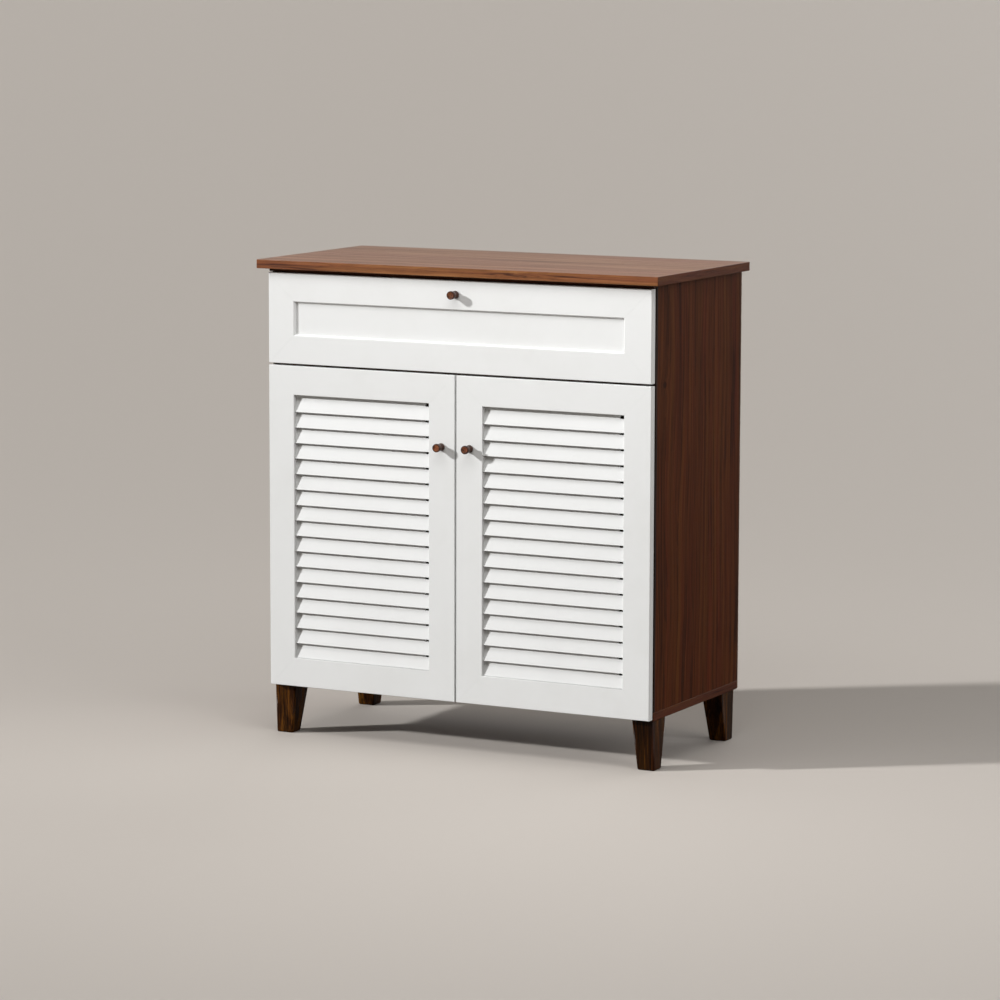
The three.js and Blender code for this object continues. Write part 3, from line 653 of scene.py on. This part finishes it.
# Painted shade: the louvres have the front foil's white and patch tones dimmed by about a tenth, since the
# leaning slats catch more light from above than the frames
LOUVRE_WHITE_DIMMED = (0.745, 0.752, 0.745)
LOUVRE_PATCH_DIMMED = (0.72, 0.726, 0.718)
louvre_white_dimmed = foil_material("louvre_white_dimmed", 0.42, LOUVRE_WHITE_DIMMED, LOUVRE_PATCH_DIMMED)


def off_slat(edge):
    """True for an edge that does not run along a slat."""
    return abs(edge.verts[0].co.x - edge.verts[1].co.x) < SLAT_LEAST_LENGTH


for side in ("left", "right"):
    node_name = f"{side}_door_louvres"
    louvre_shape = merged_copy(node_name)
    ease_edges(louvre_shape, SLAT_ROUND, 2, keep_out=off_slat)
    finished(louvre_shape, f"{node_name}_moulded", (louvre_white_dimmed,), node_name)

# ---------------------------------------------------------------------------
# Knobs: turned beech, stained brown, with a flat round head, a waist and a flared foot.
# Each is held by a pan-head screw from behind.

KNOB_LENGTH = 0.020
KNOB_HEAD = 0.0075
KNOB_FOOT = 0.0071
KNOB_FOOT_EASE = 0.0004
KNOB_FOOT_REACH = 0.0012
KNOB_WAIST = 0.0060
KNOB_WAIST_REACH = 0.0084
KNOB_HEAD_REACH = 0.0160
KNOB_EDGE = 0.0010
KNOB_DISH = 0.0058
SCREW_HOLE = 0.0023
SCREW_DEPTH = 0.0123
HEAD_STAIN = ((0.030, 0.008, 0.003), (0.150, 0.042, 0.014), (0.260, 0.085, 0.030))
RIM_STAIN = ((0.015, 0.004, 0.002), (0.052, 0.015, 0.006), (0.095, 0.030, 0.012))
knob_stain = wood_material(
    "knob_stain", GRAIN_ALONG_Y, (0.1, 0.2, 0.05), HEAD_STAIN, 0.34,
    shine=0.3, coat=0.1, streaks=0.8, pores=0.8,
)
rim_stain = wood_material(
    "knob_rim_stain", GRAIN_ALONG_Y, (0.3, 0.1, 0.25), RIM_STAIN, 0.36,
    shine=0.3, coat=0.1, streaks=0.8, pores=0.8,
)


def spun(outline, axis_start, direction, steps):
    """A turned shape: points of (radius, distance along the axis), spun round the axis."""
    shape = bmesh.new()
    start = Vector(axis_start)
    along = Vector(direction)
    across = Vector((0, 0, 1)) if abs(along.z) < 0.5 else Vector((1, 0, 0))
    verts = [shape.verts.new(start + across * radius + along * reach) for radius, reach in outline]
    edges = [shape.edges.new(pair) for pair in zip(verts, verts[1:])]
    bmesh.ops.spin(
        shape, geom=verts + edges, cent=start, axis=along, dvec=(0, 0, 0), angle=2 * pi, steps=steps,
        use_merge=True, use_normal_flip=False, use_duplicate=False,
    )
    bmesh.ops.remove_doubles(shape, verts=shape.verts, dist=WELD_DISTANCE)
    bmesh.ops.recalc_face_normals(shape, faces=shape.faces)
    for face in shape.faces:
        face.smooth = True
    for edge in shape.edges:
        edge.smooth = edge.calc_face_angle(0) < radians(35)
    return shape


def curve_between(first, last, count):
    """Points from one (radius, reach) to another on half a cosine wave."""
    points = []
    for step in range(1, count + 1):
        share = step / count
        swing = (1 - cos(pi * share)) / 2
        points.append((first[0] + (last[0] - first[0]) * swing, first[1] + (last[1] - first[1]) * share))
    return points


def quarter_round(centre, size, from_angle, count=4):
    """Points of a rounded corner, as (radius, reach), a quarter turn from an angle."""
    return [
        (centre[0] + size * cos(from_angle + pi / 2 * step / count),
         centre[1] + size * sin(from_angle + pi / 2 * step / count))
        for step in range(count + 1)
    ]


# The outline runs from the bottom of the screw hole, over the foot, the waist and the head's edge,
# to the middle of the head, which is turned a little hollow
waist = (KNOB_WAIST, KNOB_WAIST_REACH)
neck = (KNOB_HEAD, KNOB_HEAD_REACH)
knob_outline = [(0, SCREW_DEPTH), (SCREW_HOLE, SCREW_DEPTH), (SCREW_HOLE, 0)]
knob_outline += [(KNOB_FOOT - KNOB_FOOT_EASE, 0), (KNOB_FOOT, KNOB_FOOT_EASE)]
knob_outline += curve_between((KNOB_FOOT, KNOB_FOOT_REACH), waist, 8)
knob_outline += curve_between(waist, neck, 8)
knob_outline += quarter_round((KNOB_HEAD - KNOB_EDGE, KNOB_LENGTH - KNOB_EDGE), KNOB_EDGE, 0)
for radius, hollow in ((KNOB_DISH, 0.0001), (KNOB_DISH / 2, 0.0005), (0, 0.0006)):
    knob_outline.append((radius, KNOB_LENGTH - hollow))

for owner in ("drawer", "left_door", "right_door"):
    node_name = f"{owner}_knob"
    low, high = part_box(node_name)
    seat = Vector(((low.x + high.x) / 2, high.y, (low.z + high.z) / 2))
    knob_shape = spun(knob_outline, seat, (0, -1, 0), 48)
    for face in knob_shape.faces:
        out = face.calc_center_median() - seat
        if Vector((out.x, 0, out.z)).length > KNOB_DISH or -out.y < KNOB_LENGTH - KNOB_EDGE:
            face.material_index = 1
    finished(knob_shape, f"{node_name}_turned", (knob_stain, rim_stain), node_name)

# ---------------------------------------------------------------------------
# Steel: nickel-plated screws, shelf pins, cup hinges and drawer slides. The plating is lightly
# brushed along the piece, and cloudy where it has been handled.

PLATE_EASE = 0.0002
PLATE_DULL = (0.50, 0.50, 0.51, 1)
PLATE_BRIGHT = (0.66, 0.655, 0.64, 1)


def make_steel_material():
    made, tree, shader = new_material("nickel_plate")
    place = tree.nodes.new("ShaderNodeTexCoord").outputs["Object"]
    brushed = noise_node(tree, stretch_node(tree, place, (900, 60, 900)), 1, 3, 0.6)
    cloud = noise_node(tree, place, 45, 3)
    colour = mix_node(tree, cloud, PLATE_DULL, PLATE_BRIGHT)
    feed(tree, colour, shader.inputs["Base Color"])
    shader.inputs["Metallic"].default_value = 1.0
    feed(tree, add_node(tree, 0.2, scaled(tree, brushed, 0.25)), shader.inputs["Roughness"])
    raise_surface(tree, shader, brushed, 0.3, 0.00005)
    return made


nickel_plate = make_steel_material()
steel_names = [
    part["node"] for part in frame["record"]["subparts"]
    if part.get("material_slot") == "steel"
]
for node_name in steel_names:
    steel_shape = merged_copy(node_name)
    ease_edges(steel_shape, PLATE_EASE, 1, radians(50))
    finished(steel_shape, f"{node_name}_plated", (nickel_plate,), node_name)
